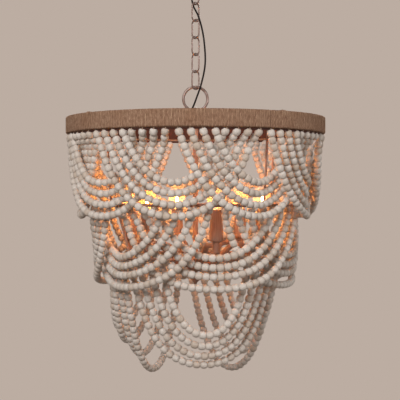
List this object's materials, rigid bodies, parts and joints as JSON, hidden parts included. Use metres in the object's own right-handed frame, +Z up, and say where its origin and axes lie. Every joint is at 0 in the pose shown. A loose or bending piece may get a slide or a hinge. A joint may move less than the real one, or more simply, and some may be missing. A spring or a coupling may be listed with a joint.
{
  "type": "beaded chandelier",
  "caption": "Chandelier of three tiers of nested wooden bead strings under a twine-wrapped hoop, with candle lamps inside, hung on a link chain from a ceiling plate.",
  "frame": {"origin": "middle of the ceiling face, on the axis of the nipple, level with the top of the crossbar and the canopy's rim", "axes": "+Z up into the ceiling, so the chandelier hangs along -Z; the front is -Y; the hanging ring lies in the X-Z plane"},
  "size_m": [0.508, 0.508, 0.8227],
  "materials": {
    "whitewashed_wood": "matt whitewash with fine grain",
    "jute_twine": "rough wound twine",
    "painted_steel": "satin paint",
    "chain_steel": "aged satin",
    "sleeve_paint": "matt",
    "bulb_glass": "lit frosted glass",
    "cord_jacket": "smooth"
  },
  "bodies": {
    "ceiling_mount": {"crossbar": "painted_steel", "threaded_nipple": "chain_steel", "locknut": "chain_steel", "ceiling_loop": "chain_steel", "supply_cord": "cord_jacket"},
    "canopy_set": {"canopy": "painted_steel", "canopy_collar": "chain_steel"},
    "link_1": {"chain_link_1": "chain_steel"},
    "link_2": {"chain_link_2": "chain_steel"},
    "link_3": {"chain_link_3": "chain_steel"},
    "link_4": {"chain_link_4": "chain_steel"},
    "link_5": {"chain_link_5": "chain_steel"},
    "link_6": {"chain_link_6": "chain_steel"},
    "ring": {"hanging_ring": "chain_steel"},
    "shade": {"frame_eye": "chain_steel", "spider_hoop": "painted_steel", "twine_wrapped_band": "jute_twine", "upper_strut_1": "painted_steel", "upper_strut_2": "painted_steel", "upper_strut_3": "painted_steel", "upper_strut_4": "painted_steel", "lower_strut_1": "painted_steel", "lower_strut_2": "painted_steel", "lower_strut_3": "painted_steel", "upper_bead_tier": "whitewashed_wood", "middle_bead_tier": "whitewashed_wood", "lower_bead_tier": "whitewashed_wood", "centre_stem": "painted_steel", "lamp_hub": "painted_steel", "finial": "painted_steel", "cord_grip": "cord_jacket", "lamp_arm_1": "painted_steel", "lamp_arm_2": "painted_steel", "lamp_arm_3": "painted_steel", "lamp_arm_4": "painted_steel", "lamp_arm_5": "painted_steel", "lamp_arm_6": "painted_steel", "lampholder_1": "painted_steel", "lampholder_2": "painted_steel", "lampholder_3": "painted_steel", "lampholder_4": "painted_steel", "lampholder_5": "painted_steel", "lampholder_6": "painted_steel", "candle_sleeve_1": "sleeve_paint", "candle_sleeve_2": "sleeve_paint", "candle_sleeve_3": "sleeve_paint", "candle_sleeve_4": "sleeve_paint", "candle_sleeve_5": "sleeve_paint", "candle_sleeve_6": "sleeve_paint"},
    "bulb_1_body": {"bulb_1": "bulb_glass"},
    "bulb_2_body": {"bulb_2": "bulb_glass"},
    "bulb_3_body": {"bulb_3": "bulb_glass"},
    "bulb_4_body": {"bulb_4": "bulb_glass"},
    "bulb_5_body": {"bulb_5": "bulb_glass"},
    "bulb_6_body": {"bulb_6": "bulb_glass"}
  },
  "joints": [
    {"name": "canopy_drop", "type": "slide", "parent": "ceiling_mount", "child": "canopy_set", "axis": [0, 0, -1], "range_m": [0, 0.07]},
    {"name": "link_1_swing", "type": "hinge", "parent": "ceiling_mount", "child": "link_1", "pos_m": [0, 0, -0.06085], "axis": [0.7071, 0.7071, 0], "range_deg": [-8, 8], "deforming": ["supply_cord"]},
    {"name": "link_2_swing", "type": "hinge", "parent": "link_1", "child": "link_2", "pos_m": [0, 0, -0.0937], "axis": [0.7071, -0.7071, 0], "range_deg": [-8, 8], "deforming": ["supply_cord"]},
    {"name": "link_3_swing", "type": "hinge", "parent": "link_2", "child": "link_3", "pos_m": [0, 0, -0.1271], "axis": [0.7071, 0.7071, 0], "range_deg": [-8, 8], "deforming": ["supply_cord"]},
    {"name": "link_4_swing", "type": "hinge", "parent": "link_3", "child": "link_4", "pos_m": [0, 0, -0.1605], "axis": [0.7071, -0.7071, 0], "range_deg": [-8, 8], "deforming": ["supply_cord"]},
    {"name": "link_5_swing", "type": "hinge", "parent": "link_4", "child": "link_5", "pos_m": [0, 0, -0.1939], "axis": [0.7071, 0.7071, 0], "range_deg": [-8, 8], "deforming": ["supply_cord"]},
    {"name": "link_6_swing", "type": "hinge", "parent": "link_5", "child": "link_6", "pos_m": [0, 0, -0.2273], "axis": [0.7071, -0.7071, 0], "range_deg": [-8, 8], "deforming": ["supply_cord"]},
    {"name": "ring_swing", "type": "hinge", "parent": "link_6", "child": "ring", "pos_m": [0, 0, -0.2607], "axis": [0.7071, 0.7071, 0], "range_deg": [-8, 8], "deforming": ["supply_cord"]},
    {"name": "shade_swing", "type": "hinge", "parent": "ring", "child": "shade", "pos_m": [0, 0, -0.30355], "axis": [1, 0, 0], "range_deg": [-8, 8], "deforming": ["supply_cord"]},
    {"name": "bulb_1_turn", "type": "hinge", "parent": "shade", "child": "bulb_1_body", "pos_m": [0.03889, -0.12719, -0.52], "axis": [0, 0, 1], "continuous": true},
    {"name": "bulb_2_turn", "type": "hinge", "parent": "shade", "child": "bulb_2_body", "pos_m": [0.12959, -0.02992, -0.52], "axis": [0, 0, 1], "continuous": true},
    {"name": "bulb_3_turn", "type": "hinge", "parent": "shade", "child": "bulb_3_body", "pos_m": [0.09071, 0.09727, -0.52], "axis": [0, 0, 1], "continuous": true},
    {"name": "bulb_4_turn", "type": "hinge", "parent": "shade", "child": "bulb_4_body", "pos_m": [-0.03889, 0.12719, -0.52], "axis": [0, 0, 1], "continuous": true},
    {"name": "bulb_5_turn", "type": "hinge", "parent": "shade", "child": "bulb_5_body", "pos_m": [-0.12959, 0.02992, -0.52], "axis": [0, 0, 1], "continuous": true},
    {"name": "bulb_6_turn", "type": "hinge", "parent": "shade", "child": "bulb_6_body", "pos_m": [-0.09071, -0.09727, -0.52], "axis": [0, 0, 1], "continuous": true}
  ]
}
